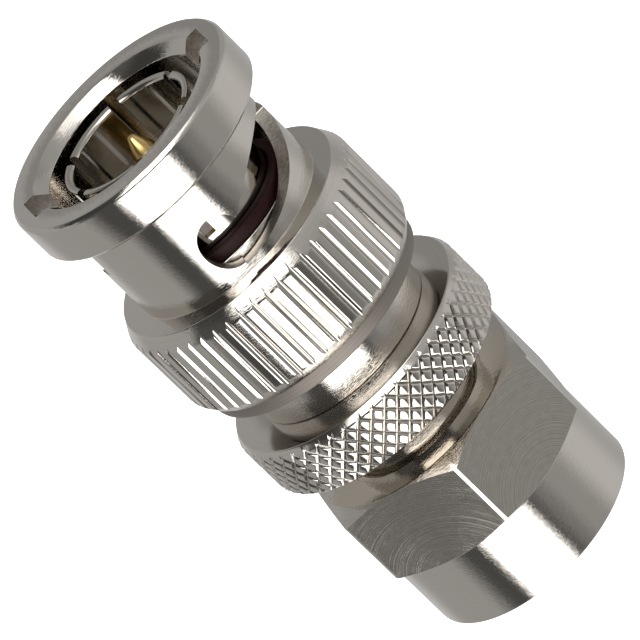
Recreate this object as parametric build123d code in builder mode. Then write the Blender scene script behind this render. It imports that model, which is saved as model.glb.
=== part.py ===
from build123d import *

import os
from math import atan2, cos, degrees, radians, tan

# A BNC plug to TNC-size plug adapter, in millimetres. It stands on the rim of its coupling nut,
# with the axis along Z and the bayonet sleeve at the top. X points through one stud entry slot.

# Clearances
seat_gap = 0.05
running_gap = 0.10
pin_gap = 0.03
shoulder_play = 0.05

# Coupling nut
nut_length = 9.5
nut_across_flats = 12.7
nut_corner_radius = 7.27
nut_face_drop = 0.97
nut_hex_length = 5.13
nut_skirt_step = 0.02
nut_skirt_chamfer = 0.2
nut_cone_angle = 30
nut_turn = 25.6
nut_web_length = 2.6
undercut_depth = 0.5
undercut_length = 0.6
thread_gap = 0.23
mouth_depth = 0.52
mouth_length = 1.2

# Rear body with the grip ring
ring_to_nut = 2.1
grip_radius = 7.35
grip_length = 3.3
grip_front_chamfer = 0.4
grip_front_drop = 0.27
grip_rear_chamfer = 0.25
grip_rear_drop = 0.3
grip_grooves = 52
grip_groove_depth = 0.13
grip_groove_angle = 42.3
neck_drop = 0.35
neck_length = 2.5
shoulder_wall = 0.7
shoulder_length = 3.0
snap_groove_depth = 0.3
snap_groove_offset = 1.6

# Snap ring
snap_ring_thickness = 0.5
snap_ring_bite = 0.4
snap_ring_opening = 1.6

# Front body
barrel_radius = 5.3
barrel_length = 6.5
tail_step = 0.7
tail_length = 2.9
flange_radius = 6.15
flange_length = 1.85
nose_length = 1.4

# Outer contacts
contact_radius = 4.05
contact_wall = 0.5
contact_tip_chamfer = 0.18
contact_slots = 6
contact_slot_width = 0.5
contact_slot_turn = 20.9
front_contact_length = 9.6
front_contact_seat = 2.85
front_slot_length = 5.5
rear_contact_length = 8.3
rear_contact_seat = 2.9
rear_tail_step = 0.35
rear_tail_wall = 0.45
rear_slot_length = 4.3

# Centre contact
pin_radius = 0.685
pin_tip_radius = 0.165
pin_tip_length = 0.7
front_pin_length = 9.2
rear_pin_length = 7.8
pin_root_step = 0.18
shank_step = 0.2

# Insulators
dielectric_radius = 2.35
front_insulator_length = 3.8
rear_insulator_length = 2.6

# Gaskets
front_gasket_wall = 0.6
front_gasket_length = 0.75
rear_gasket_wall = 0.8
rear_gasket_length = 1.0
gasket_chamfer = 0.12

# Coupling sleeve
sleeve_bore_gap = 0.2
sleeve_wall = 0.77
sleeve_reach = 8.7
lead_in_depth = 0.55
rim_wall = 0.9
rim_length = 2.4
rim_chamfer = 0.1
sleeve_neck_length = 5.85
root_ring_height = 0.25
root_ring_length = 0.3
collar_radius = 7.35
collar_length = 5.8
collar_face_drop = 0.49
collar_face_chamfer = 0.7
collar_rear_drop = 0.4
collar_rear_chamfer = 0.55
collar_grooves = 54
collar_groove_depth = 0.18
collar_groove_width = 0.4
cavity_gap = 0.15

# Stud slots and cam windows of the sleeve, with lengths measured back from the front face
slot_width = 2.32
slot_depth = 1.15
slot_end = 4.95
cam_front_start = 3.9
cam_front_end = 5.78
cam_front_turn = 25
cam_hook_turn = 84
cam_rear_start = 4.9
cam_rear_power = 1.75
cam_end_turn = 94.5
cam_steps = 14
seat_front = 4.6
seat_length = 3.1
seat_width = 1.3
cutter_overrun = 0.2

# Retaining bush and washers behind the flange
bush_spigot_radius = 6.5
bush_spigot_length = 1.35
bush_flange_height = 0.25
bush_flange_length = 0.81
washer_length = 0.4
wave_width = 0.6
wave_thickness = 0.28
wave_count = 3
wave_steps = 12

# Heights, worked up from the rim of the nut
nut_front = nut_length
grip_rear = nut_front + ring_to_nut
grip_front = grip_rear + grip_length
neck_rear = grip_rear - neck_length
shoulder_rear = neck_rear - shoulder_length
rear_step = shoulder_rear + rear_contact_seat
tail_rear = grip_front - tail_length
flange_rear = grip_front + barrel_length
flange_front = flange_rear + flange_length
nose_front = flange_front + nose_length
front_step = nose_front - front_contact_seat
sleeve_shoulder = flange_front + shoulder_play
sleeve_front = sleeve_shoulder + sleeve_reach
collar_front = sleeve_front - rim_length - sleeve_neck_length
collar_rear = collar_front - collar_length
spigot_front = collar_rear + bush_spigot_length
washer_front = spigot_front + washer_length
snap_ring_rear = shoulder_rear + snap_groove_offset
seat_rear = seat_front + seat_length

# Radii that follow from a fit or a wall
body_bore_radius = dielectric_radius + seat_gap
contact_bore_radius = contact_radius - contact_wall
contact_seat_radius = contact_radius + seat_gap
front_gasket_radius = contact_seat_radius + front_gasket_wall
nose_radius = front_gasket_radius + seat_gap
sleeve_bore_radius = nose_radius + sleeve_bore_gap
sleeve_radius = sleeve_bore_radius + sleeve_wall
slot_reach = sleeve_bore_radius + slot_depth
rim_radius = slot_reach + rim_wall
rear_gasket_radius = contact_seat_radius + rear_gasket_wall
thread_minor_radius = rear_gasket_radius + thread_gap
pin_root_radius = pin_radius + pin_root_step
pin_bore_radius = pin_root_radius + pin_gap
shank_radius = pin_root_radius + shank_step
tail_radius = barrel_radius - tail_step
tail_seat_radius = tail_radius + seat_gap
rear_tail_radius = contact_radius - rear_tail_step
rear_seat_radius = rear_tail_radius + seat_gap
shoulder_radius = rear_seat_radius + shoulder_wall
neck_radius = shoulder_radius - neck_drop
snap_groove_radius = shoulder_radius - snap_groove_depth
nut_bore_radius = shoulder_radius + running_gap
snap_ring_radius = nut_bore_radius + snap_ring_bite
washer_bore_radius = barrel_radius + running_gap
cavity_radius = flange_radius + cavity_gap
washer_radius = cavity_radius - running_gap
wave_radius = flange_radius
lead_in_radius = sleeve_bore_radius + lead_in_depth
root_ring_radius = sleeve_radius + root_ring_height
bush_flange_radius = bush_spigot_radius + bush_flange_height
nut_skirt_radius = nut_across_flats / 2 - nut_skirt_step
nut_face_radius = nut_corner_radius - nut_face_drop
mouth_radius = thread_minor_radius + mouth_depth
undercut_radius = thread_minor_radius + undercut_depth


def radial_plane(angle):
    """The plane through the axis at an angle from X, with x outwards and y up."""
    outwards = Vector(1, 0, 0).rotate(Axis.Z, angle)
    normal = Vector(0, -1, 0).rotate(Axis.Z, angle)
    return Plane(origin=(0, 0, 0), x_dir=outwards, z_dir=normal)


def cam_front_wall(turn):
    """Distance of the cam window's front wall behind the sleeve's front face."""
    share = max(turn - cam_front_turn, 0) / (cam_hook_turn - cam_front_turn)
    return cam_front_start + (cam_front_end - cam_front_start) * min(share, 1) ** 2


def cam_rear_wall(turn):
    """Distance of the cam window's rear wall behind the sleeve's front face."""
    share = (cam_end_turn - turn) / cam_end_turn
    return seat_rear - (seat_rear - cam_rear_start) * share**cam_rear_power


def faceted_ring(rear, length, radius, facets, front_chamfer, front_drop, rear_chamfer, rear_drop):
    """A ring with one flat per tooth of its knurl, chamfered towards both ends by a taper of its flats."""
    front_plane = Plane.XY.offset(rear + length - front_chamfer)
    rear_plane = Plane(origin=(0, 0, rear + rear_chamfer), x_dir=(1, 0, 0), z_dir=(0, 0, -1))
    with BuildPart() as ring:
        with BuildSketch(front_plane) as section:
            RegularPolygon(radius, facets, major_radius=False)
        extrude(amount=front_chamfer, taper=degrees(atan2(front_drop, front_chamfer)))
        extrude(section.sketch, amount=rear_chamfer + front_chamfer - length)
        with BuildSketch(rear_plane):
            RegularPolygon(radius, facets, major_radius=False)
        extrude(amount=rear_chamfer, taper=degrees(atan2(rear_drop, rear_chamfer)))
    return ring.part


# Coupling nut: the turned blank is cut to a hexagon, which leaves the 30 degree cones
nut_cone_length = (nut_corner_radius - nut_face_radius) * tan(radians(nut_cone_angle))
nut_rear_cone_length = (nut_corner_radius - nut_skirt_radius) * tan(radians(nut_cone_angle))
nut_hex_rear = nut_front - nut_hex_length
nut_web_rear = nut_front - nut_web_length
nut_undercut_rear = nut_web_rear - undercut_length
with BuildPart() as coupling_nut:
    with BuildSketch(Plane.XZ):
        with BuildLine():
            Polyline(
                (0, 0),
                (nut_skirt_radius - nut_skirt_chamfer, 0),
                (nut_skirt_radius, nut_skirt_chamfer),
                (nut_skirt_radius, nut_hex_rear),
                (nut_corner_radius, nut_hex_rear + nut_rear_cone_length),
                (nut_corner_radius, nut_front - nut_cone_length),
                (nut_face_radius, nut_front),
                (0, nut_front),
                close=True,
            )
        make_face()
    revolve(axis=Axis.Z)
    with BuildSketch(Plane.XY):
        RegularPolygon(nut_across_flats / 2, 6, major_radius=False, rotation=nut_turn)
    extrude(amount=nut_front, mode=Mode.INTERSECT)
    with BuildSketch(Plane.XZ):
        with BuildLine():
            Polyline(
                (0, 0),
                (mouth_radius, 0),
                (mouth_radius, mouth_length),
                (thread_minor_radius, mouth_length + mouth_radius - thread_minor_radius),
                (thread_minor_radius, nut_undercut_rear),
                (undercut_radius, nut_undercut_rear),
                (undercut_radius, nut_web_rear),
                (nut_bore_radius, nut_web_rear),
                (nut_bore_radius, nut_front),
                (0, nut_front),
                close=True,
            )
        make_face()
    revolve(axis=Axis.Z, mode=Mode.SUBTRACT)
    with BuildSketch(Plane.XY.offset(snap_ring_rear - shoulder_play)):
        Circle(snap_ring_radius + running_gap)
    extrude(amount=snap_ring_thickness + 2 * shoulder_play, mode=Mode.SUBTRACT)
coupling_nut.part.label = "coupling_nut"

# One V groove of the diamond knurl, as long as the grip ring is wide, leaning one way
grip_middle = (grip_front + grip_rear) / 2
grip_groove_reach = grip_length / cos(radians(grip_groove_angle)) / 2 + cutter_overrun
grip_groove_top = grip_groove_depth + cutter_overrun


def grip_groove(lean):
    """A V shaped cutter that crosses the grip ring at an angle to the axis."""
    bottom = Plane(
        origin=(grip_radius - grip_groove_depth, 0, grip_middle),
        x_dir=(1, 0, 0),
        z_dir=Vector(0, 0, 1).rotate(Axis.X, lean),
    )
    with BuildPart() as groove:
        with BuildSketch(bottom):
            Polygon(
                (0, 0),
                (grip_groove_top, grip_groove_top),
                (grip_groove_top, -grip_groove_top),
                align=None,
            )
        extrude(amount=grip_groove_reach, both=True)
    return groove.part


grip_grooves_left = grip_groove(grip_groove_angle)
grip_grooves_right = grip_groove(-grip_groove_angle)

grip_ring = faceted_ring(
    grip_rear,
    grip_length,
    grip_radius,
    grip_grooves,
    grip_front_chamfer,
    grip_front_drop,
    grip_rear_chamfer,
    grip_rear_drop,
)

# Rear body: grip ring, neck and the shoulder that carries the nut
with BuildPart() as rear_body:
    add(grip_ring)
    with PolarLocations(0, grip_grooves):
        add(grip_grooves_left, mode=Mode.SUBTRACT)
    with PolarLocations(0, grip_grooves):
        add(grip_grooves_right, mode=Mode.SUBTRACT)
    with BuildSketch(Plane.XZ):
        with BuildLine():
            Polyline(
                (0, shoulder_rear),
                (shoulder_radius, shoulder_rear),
                (shoulder_radius, neck_rear),
                (neck_radius, neck_rear),
                (neck_radius, grip_rear),
                (0, grip_rear),
                close=True,
            )
        make_face()
    revolve(axis=Axis.Z)
    with BuildSketch(Plane.XZ):
        with BuildLine():
            Polyline(
                (0, shoulder_rear),
                (rear_seat_radius, shoulder_rear),
                (rear_seat_radius, rear_step),
                (body_bore_radius, rear_step),
                (body_bore_radius, tail_rear),
                (tail_seat_radius, tail_rear),
                (tail_seat_radius, grip_front),
                (0, grip_front),
                close=True,
            )
        make_face()
    revolve(axis=Axis.Z, mode=Mode.SUBTRACT)
    with BuildSketch(Plane.XY.offset(snap_ring_rear)):
        Circle(shoulder_radius + running_gap)
        Circle(snap_groove_radius, mode=Mode.SUBTRACT)
    extrude(amount=snap_ring_thickness + shoulder_play, mode=Mode.SUBTRACT)
rear_body.part.label = "rear_body"

# Snap ring, split so that it springs into both grooves
with BuildPart() as snap_ring:
    with BuildSketch(Plane.XY.offset(snap_ring_rear)):
        Circle(snap_ring_radius)
        Circle(snap_groove_radius + seat_gap, mode=Mode.SUBTRACT)
        with Locations((snap_ring_radius, 0)):
            Rectangle(snap_ring_radius, snap_ring_opening, mode=Mode.SUBTRACT)
    extrude(amount=snap_ring_thickness)
snap_ring.part.label = "snap_ring"

# Front body: nose, flange, the plain barrel and the tail that is pressed into the grip ring
with BuildPart() as front_body:
    with BuildSketch(Plane.XZ):
        with BuildLine():
            Polyline(
                (body_bore_radius, tail_rear),
                (tail_radius, tail_rear),
                (tail_radius, grip_front),
                (barrel_radius, grip_front),
                (barrel_radius, flange_rear),
                (flange_radius, flange_rear),
                (flange_radius, flange_front),
                (nose_radius, flange_front),
                (nose_radius, nose_front),
                (contact_seat_radius, nose_front),
                (contact_seat_radius, front_step),
                (body_bore_radius, front_step),
                close=True,
            )
        make_face()
    revolve(axis=Axis.Z)
front_body.part.label = "front_body"

# Front outer contact: a tube slotted into spring fingers
front_contact_front = front_step + front_contact_length
with BuildPart() as front_outer_contact:
    with BuildSketch(Plane.XZ):
        with BuildLine():
            Polyline(
                (contact_bore_radius, front_step),
                (contact_radius, front_step),
                (contact_radius, front_contact_front - contact_tip_chamfer),
                (contact_radius - contact_tip_chamfer, front_contact_front),
                (contact_bore_radius, front_contact_front),
                close=True,
            )
        make_face()
    revolve(axis=Axis.Z)
    with BuildSketch(Plane.XY.offset(front_contact_front)):
        with PolarLocations(contact_radius, contact_slots, contact_slot_turn):
            Rectangle(contact_radius, contact_slot_width)
    extrude(amount=-front_slot_length, mode=Mode.SUBTRACT)
front_outer_contact.part.label = "front_outer_contact"

# Rear outer contact: the same fingers on a thinner tail
rear_contact_rear = rear_step - rear_contact_length
with BuildPart() as rear_outer_contact:
    with BuildSketch(Plane.XZ):
        with BuildLine():
            Polyline(
                (rear_tail_radius - rear_tail_wall, rear_step),
                (rear_tail_radius, rear_step),
                (rear_tail_radius, shoulder_rear),
                (contact_radius, shoulder_rear),
                (contact_radius, rear_contact_rear + contact_tip_chamfer),
                (contact_radius - contact_tip_chamfer, rear_contact_rear),
                (contact_bore_radius, rear_contact_rear),
                (contact_bore_radius, shoulder_rear - rear_tail_wall),
                (rear_tail_radius - rear_tail_wall, shoulder_rear - rear_tail_wall),
                close=True,
            )
        make_face()
    revolve(axis=Axis.Z)
    with BuildSketch(Plane.XY.offset(rear_contact_rear)):
        with PolarLocations(contact_radius, contact_slots, contact_slot_turn):
            Rectangle(contact_radius, contact_slot_width)
    extrude(amount=rear_slot_length, mode=Mode.SUBTRACT)
rear_outer_contact.part.label = "rear_outer_contact"

# Centre contact: one double-ended pin with a thicker shank between the two discs
front_pin_tip = front_step + front_pin_length
rear_pin_tip = rear_step - rear_pin_length
with BuildPart() as centre_contact:
    with BuildSketch(Plane.XZ):
        with BuildLine():
            Polyline(
                (0, rear_pin_tip),
                (pin_tip_radius, rear_pin_tip),
                (pin_radius, rear_pin_tip + pin_tip_length),
                (pin_radius, rear_step - rear_insulator_length),
                (pin_root_radius, rear_step - rear_insulator_length),
                (pin_root_radius, rear_step),
                (shank_radius, rear_step),
                (shank_radius, front_step),
                (pin_root_radius, front_step),
                (pin_root_radius, front_step + front_insulator_length),
                (pin_radius, front_step + front_insulator_length),
                (pin_radius, front_pin_tip - pin_tip_length),
                (pin_tip_radius, front_pin_tip),
                (0, front_pin_tip),
                close=True,
            )
        make_face()
    revolve(axis=Axis.Z)
centre_contact.part.label = "centre_contact"

# Insulators
with BuildPart() as front_insulator:
    with BuildSketch(Plane.XY.offset(front_step)):
        Circle(contact_bore_radius - seat_gap)
        Circle(pin_bore_radius, mode=Mode.SUBTRACT)
    extrude(amount=front_insulator_length)
front_insulator.part.label = "front_insulator"

with BuildPart() as middle_insulator:
    with BuildSketch(Plane.XY.offset(rear_step)):
        Circle(dielectric_radius)
        Circle(shank_radius + pin_gap, mode=Mode.SUBTRACT)
    extrude(amount=front_step - rear_step)
middle_insulator.part.label = "middle_insulator"

with BuildPart() as rear_insulator:
    with BuildSketch(Plane.XY.offset(rear_step)):
        Circle(rear_tail_radius - rear_tail_wall - seat_gap)
        Circle(pin_bore_radius, mode=Mode.SUBTRACT)
    extrude(amount=-rear_insulator_length)
rear_insulator.part.label = "rear_insulator"

# Gaskets
with BuildPart() as front_gasket:
    with BuildSketch(Plane.XY.offset(nose_front)):
        Circle(front_gasket_radius)
        Circle(contact_seat_radius, mode=Mode.SUBTRACT)
    extrude(amount=front_gasket_length)
    chamfer(front_gasket.edges().group_by(Axis.Z)[-1], gasket_chamfer)
front_gasket.part.label = "front_gasket"

with BuildPart() as rear_gasket:
    with BuildSketch(Plane.XY.offset(shoulder_rear)):
        Circle(rear_gasket_radius)
        Circle(contact_seat_radius, mode=Mode.SUBTRACT)
    extrude(amount=-rear_gasket_length)
    chamfer(rear_gasket.edges().group_by(Axis.Z)[0], gasket_chamfer)
rear_gasket.part.label = "rear_gasket"

# Cam window cutter: radial sections joined round the sleeve, from the entry slot to the stud seat
cutter_inner = sleeve_bore_radius - cutter_overrun
cutter_outer = sleeve_radius + cutter_overrun
with BuildPart() as cam_window:
    for step in range(cam_steps + 1):
        turn = cam_end_turn * step / cam_steps
        top = sleeve_front - cam_front_wall(turn)
        foot = sleeve_front - cam_rear_wall(turn)
        with BuildSketch(radial_plane(-turn)):
            Polygon(
                (cutter_inner, foot),
                (cutter_outer, foot),
                (cutter_outer, top),
                (cutter_inner, top),
                align=None,
            )
    loft(ruled=True)

# Stud seat cutter: the rounded end of the window, which hooks forward round the tip of the cam wall
seat_plane = Plane(
    origin=(0, 0, sleeve_front),
    x_dir=Vector(0, -1, 0).rotate(Axis.Z, -cam_end_turn),
    z_dir=Vector(1, 0, 0).rotate(Axis.Z, -cam_end_turn),
).offset(cutter_inner)
with BuildPart() as stud_seat:
    with BuildSketch(seat_plane):
        with BuildLine():
            end = EllipticalCenterArc(
                (0, (seat_front + seat_rear) / 2),
                seat_width,
                seat_length / 2,
                start_angle=-90,
                arc_size=180,
            )
            Polyline(
                end @ 1,
                (-cutter_overrun, seat_rear),
                (-cutter_overrun, cam_front_end),
                (0, cam_front_end),
                end @ 0,
            )
        make_face()
    extrude(amount=cutter_outer - cutter_inner)

# Coupling sleeve: rim, neck, knurled collar, bore and the cavity for the flange and washers
collar = faceted_ring(
    collar_rear,
    collar_length,
    collar_radius,
    collar_grooves,
    collar_face_chamfer,
    collar_face_drop,
    collar_rear_chamfer,
    collar_rear_drop,
)
with BuildPart() as coupling_sleeve:
    add(collar)
    with BuildSketch(Plane.XY.offset(collar_rear)):
        with PolarLocations(collar_radius - collar_groove_depth, collar_grooves):
            Polygon(
                (0, 0),
                (2 * collar_groove_depth, collar_groove_width),
                (2 * collar_groove_depth, -collar_groove_width),
                align=None,
            )
    extrude(amount=collar_length, mode=Mode.SUBTRACT)
    with BuildSketch(Plane.XZ):
        with BuildLine():
            Polyline(
                (0, collar_front),
                (root_ring_radius, collar_front),
                (root_ring_radius, collar_front + root_ring_length),
                (sleeve_radius, collar_front + root_ring_length),
                (sleeve_radius, sleeve_front - rim_length),
                (rim_radius - rim_chamfer, sleeve_front - rim_length),
                (rim_radius, sleeve_front - rim_length + rim_chamfer),
                (rim_radius, sleeve_front - rim_chamfer),
                (rim_radius - rim_chamfer, sleeve_front),
                (0, sleeve_front),
                close=True,
            )
        make_face()
    revolve(axis=Axis.Z)
    with BuildSketch(Plane.XZ):
        with BuildLine():
            Polyline(
                (0, collar_rear),
                (bush_spigot_radius + seat_gap, collar_rear),
                (bush_spigot_radius + seat_gap, spigot_front),
                (cavity_radius, spigot_front),
                (cavity_radius, sleeve_shoulder),
                (sleeve_bore_radius, sleeve_shoulder),
                (sleeve_bore_radius, sleeve_front - lead_in_depth),
                (lead_in_radius, sleeve_front),
                (0, sleeve_front),
                close=True,
            )
        make_face()
    revolve(axis=Axis.Z, mode=Mode.SUBTRACT)
    with BuildSketch(Plane.XY.offset(sleeve_front)):
        Rectangle(2 * slot_reach, slot_width)
        Circle(cutter_inner, mode=Mode.SUBTRACT)
    extrude(amount=-slot_end, mode=Mode.SUBTRACT)
    with PolarLocations(0, 2):
        add(cam_window.part, mode=Mode.SUBTRACT)
    with PolarLocations(0, 2):
        add(stud_seat.part, mode=Mode.SUBTRACT)
coupling_sleeve.part.label = "coupling_sleeve"

# Retaining bush: its spigot is pressed into the sleeve and it runs on the barrel
with BuildPart() as retaining_bush:
    with BuildSketch(Plane.XZ):
        with BuildLine():
            Polyline(
                (washer_bore_radius, collar_rear - bush_flange_length),
                (bush_flange_radius, collar_rear - bush_flange_length),
                (bush_flange_radius, collar_rear),
                (bush_spigot_radius, collar_rear),
                (bush_spigot_radius, spigot_front),
                (washer_bore_radius, spigot_front),
                close=True,
            )
        make_face()
    revolve(axis=Axis.Z)
retaining_bush.part.label = "retaining_bush"

# Thrust washer
with BuildPart() as thrust_washer:
    with BuildSketch(Plane.XY.offset(spigot_front)):
        Circle(washer_radius)
        Circle(washer_bore_radius, mode=Mode.SUBTRACT)
    extrude(amount=washer_length)
thrust_washer.part.label = "thrust_washer"

# Wave washer: one wave is a third of the ring, between the thrust washer and the flange
wave_rise = (flange_rear - washer_front - wave_thickness) / 2
wave_middle = (flange_rear + washer_front) / 2
wave_span = 360 / wave_count
with BuildPart() as wave:
    for step in range(wave_steps + 1):
        turn = wave_span * step / wave_steps
        height = wave_middle + wave_rise * cos(radians(wave_count * turn))
        with BuildSketch(radial_plane(turn)):
            with Locations((wave_radius - wave_width / 2, height)):
                Rectangle(wave_width, wave_thickness)
    loft(ruled=True)
with BuildPart() as wave_washer:
    with PolarLocations(0, wave_count):
        add(wave.part)
wave_washer.part.label = "wave_washer"

os.makedirs("parts", exist_ok=True)
export_step(coupling_nut.part, "parts/coupling_nut.step")
export_step(rear_body.part, "parts/rear_body.step")
export_step(snap_ring.part, "parts/snap_ring.step")
export_step(front_body.part, "parts/front_body.step")
export_step(front_outer_contact.part, "parts/front_outer_contact.step")
export_step(rear_outer_contact.part, "parts/rear_outer_contact.step")
export_step(centre_contact.part, "parts/centre_contact.step")
export_step(front_insulator.part, "parts/front_insulator.step")
export_step(middle_insulator.part, "parts/middle_insulator.step")
export_step(rear_insulator.part, "parts/rear_insulator.step")
export_step(front_gasket.part, "parts/front_gasket.step")
export_step(rear_gasket.part, "parts/rear_gasket.step")
export_step(coupling_sleeve.part, "parts/coupling_sleeve.step")
export_step(retaining_bush.part, "parts/retaining_bush.step")
export_step(thrust_washer.part, "parts/thrust_washer.step")
export_step(wave_washer.part, "parts/wave_washer.step")
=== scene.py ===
"""Dresses a packed coaxial adapter.

The metal is turned, knurled and milled nickel, with a gold pin, white discs and red seals.
"""

from __future__ import annotations

import logging
import math
from dataclasses import dataclass
from enum import Enum, IntEnum

import bmesh
import bpy
from bmesh.types import BMEdge, BMesh, BMVert
from mathutils import Matrix, Vector

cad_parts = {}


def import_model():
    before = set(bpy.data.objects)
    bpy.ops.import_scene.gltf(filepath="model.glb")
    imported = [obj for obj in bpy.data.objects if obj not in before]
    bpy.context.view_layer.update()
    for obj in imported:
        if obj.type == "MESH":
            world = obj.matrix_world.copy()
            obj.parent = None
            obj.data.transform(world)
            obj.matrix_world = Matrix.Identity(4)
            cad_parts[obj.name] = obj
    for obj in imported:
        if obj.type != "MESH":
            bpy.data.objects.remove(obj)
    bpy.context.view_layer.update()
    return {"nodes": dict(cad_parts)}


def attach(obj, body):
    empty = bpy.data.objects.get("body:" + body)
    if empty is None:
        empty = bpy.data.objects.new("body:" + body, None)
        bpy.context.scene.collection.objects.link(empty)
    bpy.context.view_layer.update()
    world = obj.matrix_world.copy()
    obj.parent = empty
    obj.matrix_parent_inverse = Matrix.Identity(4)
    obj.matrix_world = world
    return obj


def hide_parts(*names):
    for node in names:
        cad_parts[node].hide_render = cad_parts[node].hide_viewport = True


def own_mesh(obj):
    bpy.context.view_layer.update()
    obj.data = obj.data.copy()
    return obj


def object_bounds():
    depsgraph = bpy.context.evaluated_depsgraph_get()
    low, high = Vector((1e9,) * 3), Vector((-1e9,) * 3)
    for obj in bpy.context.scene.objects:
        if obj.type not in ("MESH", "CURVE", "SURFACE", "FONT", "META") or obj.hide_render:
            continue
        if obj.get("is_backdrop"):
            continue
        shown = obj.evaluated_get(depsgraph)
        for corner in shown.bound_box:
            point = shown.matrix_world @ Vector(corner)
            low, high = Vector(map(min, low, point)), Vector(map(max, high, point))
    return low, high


log = logging.getLogger("adapter")

MM = 0.001
UP = Vector((0, 0, 1))
FULL_TURN = 2 * math.pi
TURN_STEPS = 288
RING_STEPS = 144
PIN_STEPS = 96
# How far a cutter runs past the piece
OVERRUN = 1.0
ARC_MAP = "arcs"

Color = tuple[float, float, float]


class Body(Enum):
    """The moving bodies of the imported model."""

    CONNECTOR = "connector_body"
    WASHER = "washer"
    BAYONET = "bayonet"
    NUT = "nut"


class Slot(Enum):
    """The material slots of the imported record."""

    NICKEL = "nickel"
    CONTACT = "contact_metal"
    GOLD = "gold"
    SPRING = "spring_steel"
    DIELECTRIC = "dielectric"
    SEAL = "seal"


class CutMode(Enum):
    """How a cutter acts on the piece it meets."""

    REMOVE = "DIFFERENCE"
    KEEP = "INTERSECT"


class Layer(IntEnum):
    """A piece's own finishes: what the lathe left, and what a milling cutter left."""

    TURNED = 0
    MILLED = 1


# Finishes


def add(
    tree: bpy.types.NodeTree, kind: str, inputs: dict[str | int, object], **settings: object
) -> bpy.types.Node:
    """Adds a node to a node tree.

    Args:
        tree: The node tree.
        kind: The node's type.
        inputs: What each input gets, by its name or place: a socket to link, or a value.
        settings: The node's own settings, such as its operation.

    Returns:
        The node.
    """
    node = tree.nodes.new(kind)
    for name, value in settings.items():
        setattr(node, name, value)
    for name, value in inputs.items():
        if isinstance(value, bpy.types.NodeSocket):
            tree.links.new(value, node.inputs[name])
        else:
            node.inputs[name].default_value = value
    return node


class Surface:
    """A new material, with short ways to add the nodes that the finishes share."""

    def __init__(self, name: str, metallic: float) -> None:
        """Starts the material.

        Args:
            name: The material's name.
            metallic: 1 for bare metal, 0 for rubber or plastic.
        """
        self.material = bpy.data.materials.new(name)
        self.material.use_nodes = True
        self.tree = self.material.node_tree
        self.inputs = self.tree.nodes["Principled BSDF"].inputs
        self.inputs["Metallic"].default_value = metallic

    def place(self) -> bpy.types.NodeSocket:
        """Gives the position on the object."""
        return add(self.tree, "ShaderNodeTexCoord", {}).outputs["Object"]

    def length(self, vector: bpy.types.NodeSocket) -> bpy.types.NodeSocket:
        """Gives the length of a vector."""
        node = add(self.tree, "ShaderNodeVectorMath", {0: vector}, operation="LENGTH")
        return node.outputs["Value"]

    def noise(
        self, place: bpy.types.NodeSocket, scale: float, detail: float, roughness: float = 0.5
    ) -> bpy.types.NodeSocket:
        """Adds a noise.

        Args:
            place: Where it is read, as a vector or as a single value.
            scale: Its scale.
            detail: Its detail.
            roughness: How much its finer levels count.

        Returns:
            The noise's value.
        """
        single = place.type == "VALUE"
        values = {"Scale": scale, "Detail": detail, "Roughness": roughness}
        values["W" if single else "Vector"] = place
        dimensions = "1D" if single else "3D"
        noise = add(self.tree, "ShaderNodeTexNoise", values, noise_dimensions=dimensions)
        return noise.outputs["Fac"]

    def tint(
        self, value: bpy.types.NodeSocket, dark: tuple[float, Color], light: tuple[float, Color]
    ) -> None:
        """Colours the surface between two tones.

        Args:
            value: The value that picks the tone.
            dark: The value up to which the surface is dark, and the dark tone.
            light: The value from which it is light, and the light tone.
        """
        ramp = add(self.tree, "ShaderNodeValToRGB", {"Fac": value})
        for element, (spot, color) in zip(ramp.color_ramp.elements, (dark, light)):
            element.position = spot
            element.color = (*color, 1)
        self.tree.links.new(ramp.outputs["Color"], self.inputs["Base Color"])

    def roughen(
        self,
        value: bpy.types.NodeSocket,
        middle: float,
        spread: float,
        start: float = 0.0,
        end: float = 1.0,
    ) -> None:
        """Lets the roughness follow a value.

        Args:
            value: The value that it follows.
            middle: The roughness half way.
            spread: How far it goes from there to either side.
            start: The value where the surface is smoothest.
            end: The value where it is roughest.
        """
        limits = {"From Min": start, "From Max": end}
        limits |= {"To Min": middle - spread, "To Max": middle + spread}
        tone = add(self.tree, "ShaderNodeMapRange", {"Value": value, **limits})
        self.tree.links.new(tone.outputs["Result"], self.inputs["Roughness"])

    def emboss(self, height: bpy.types.NodeSocket, depth: float, strength: float = 1.0) -> None:
        """Adds a bump on top of those that are there.

        Args:
            height: The value that gives its height.
            depth: Its depth in millimetres.
            strength: Its strength.
        """
        values = {"Height": height, "Distance": depth * MM, "Strength": strength}
        bump = add(self.tree, "ShaderNodeBump", values)
        normal = self.inputs["Normal"]
        if normal.is_linked:
            self.tree.links.new(normal.links[0].from_socket, bump.inputs["Normal"])
        self.tree.links.new(bump.outputs["Normal"], normal)


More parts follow.
